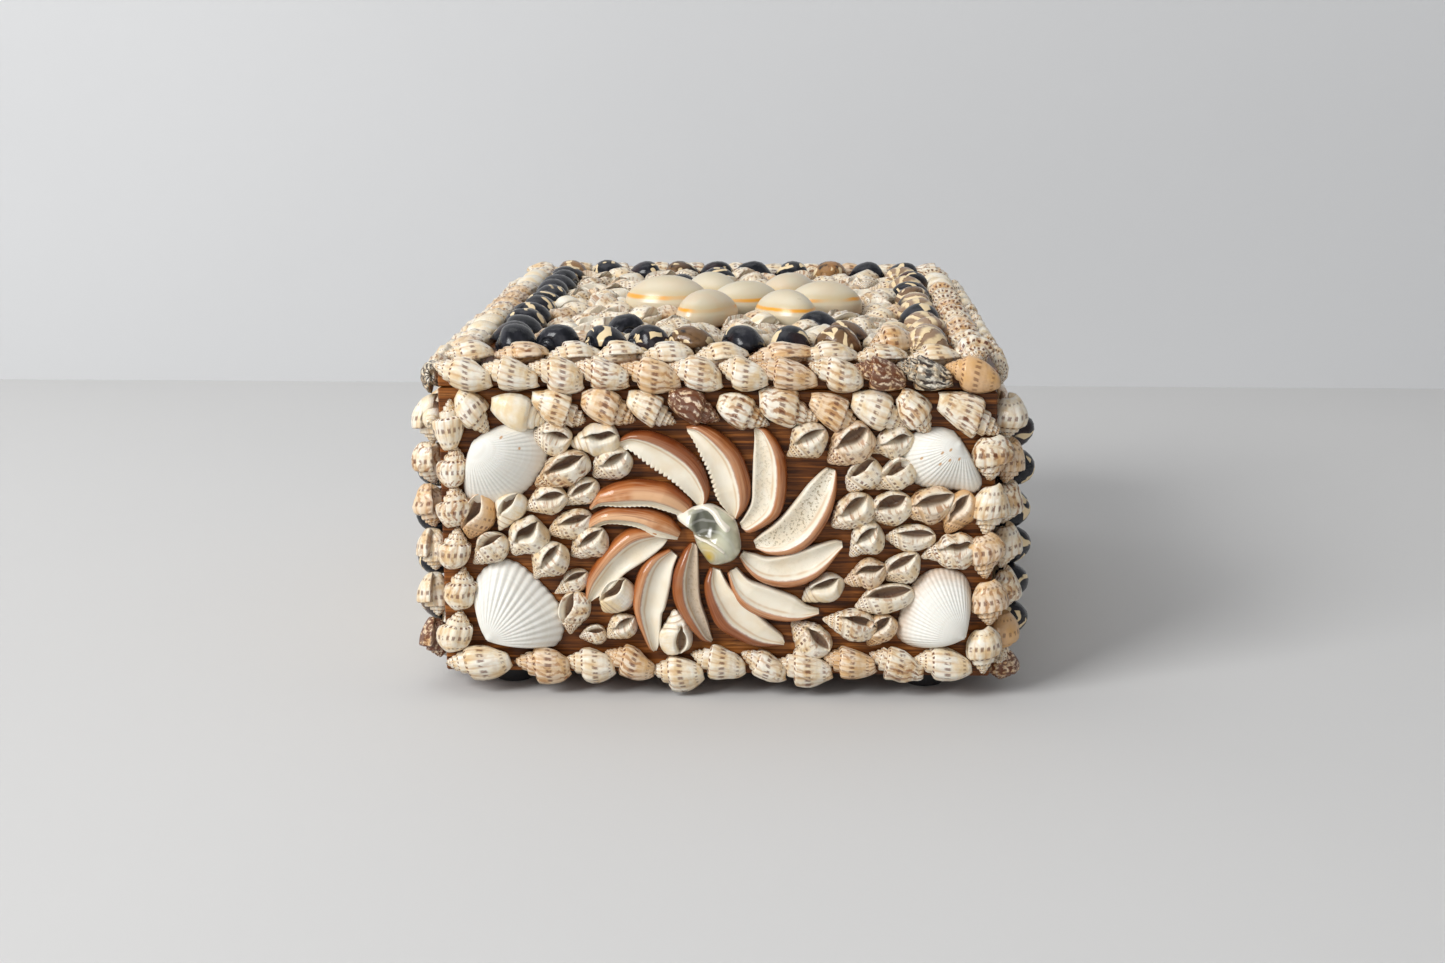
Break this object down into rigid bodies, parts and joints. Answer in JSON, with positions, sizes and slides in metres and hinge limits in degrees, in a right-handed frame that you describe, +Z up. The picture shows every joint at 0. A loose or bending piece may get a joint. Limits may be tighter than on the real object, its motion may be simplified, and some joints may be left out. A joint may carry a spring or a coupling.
{
  "type": "shell box",
  "caption": "Small wooden keepsake box with a lift-off lid, standing on round feet and covered in glued seashells.",
  "frame": {"origin": "on the ground under the middle of the box", "axes": "+X to the right seen from the front, +Y from the front to the back, +Z up"},
  "size_m": [0.1612, 0.1948, 0.0958],
  "materials": {
    "varnished_wood": "reddish-brown stain under a clear satin varnish",
    "black_rubber": "matt black",
    "speckled_shell": "glossy cream with tan and dark brown speckles",
    "cream_shell": "glossy cream and white with faint brown marks",
    "white_shell": "chalky white with a slight sheen",
    "salmon_lip": "glossy salmon-brown rim round a cream face",
    "black_nerite": "glossy black with cream marks",
    "ring_cowrie": "polished cream with a golden ring",
    "green_shell": "thin translucent grey-green with a yellow patch"
  },
  "bodies": {
    "root": {"back_bottom_row": "speckled_shell", "back_fill": "cream_shell", "back_top_row": "speckled_shell", "box_body": "varnished_wood", "cockle_bottom_left": "white_shell", "cockle_bottom_right": "white_shell", "cockle_top_left": "white_shell", "cockle_top_right": "white_shell", "corner_back_left": "speckled_shell", "corner_front_right": "speckled_shell", "corner_left_front": "speckled_shell", "corner_right_back": "speckled_shell", "cowrie_0": "ring_cowrie", "cowrie_1": "ring_cowrie", "cowrie_2": "ring_cowrie", "cowrie_3": "ring_cowrie", "cowrie_4": "ring_cowrie", "cowrie_5": "ring_cowrie", "cowrie_6": "ring_cowrie", "foot_back_left": "black_rubber", "foot_back_right": "black_rubber", "foot_front_left": "black_rubber", "foot_front_right": "black_rubber", "front_bottom_row": "speckled_shell", "front_fill_left": "cream_shell", "front_fill_right": "cream_shell", "front_top_row": "speckled_shell", "front_white_shell": "white_shell", "left_bottom_row": "speckled_shell", "left_fill": "cream_shell", "left_nerites_back": "black_nerite", "left_nerites_front": "black_nerite", "left_top_row": "speckled_shell", "lid": "varnished_wood", "lid_edge_back": "speckled_shell", "lid_edge_front": "speckled_shell", "lid_edge_left": "speckled_shell", "lid_edge_right": "speckled_shell", "lid_fill": "cream_shell", "lid_nerite_ring": "black_nerite", "pinwheel_hub": "green_shell", "pinwheel_lip_a": "salmon_lip", "pinwheel_lip_b": "salmon_lip", "pinwheel_lip_c": "salmon_lip", "pinwheel_lip_d": "salmon_lip", "pinwheel_lip_e": "salmon_lip", "pinwheel_lip_f": "salmon_lip", "pinwheel_lip_g": "salmon_lip", "pinwheel_lip_h": "salmon_lip", "pinwheel_lip_i": "salmon_lip", "pinwheel_lip_j": "salmon_lip", "pinwheel_lip_k": "salmon_lip", "pinwheel_lip_l": "salmon_lip", "right_bottom_row": "speckled_shell", "right_fill": "cream_shell", "right_nerites_back": "black_nerite", "right_nerites_front": "black_nerite", "right_top_row": "speckled_shell"}
  },
  "joints": []
}
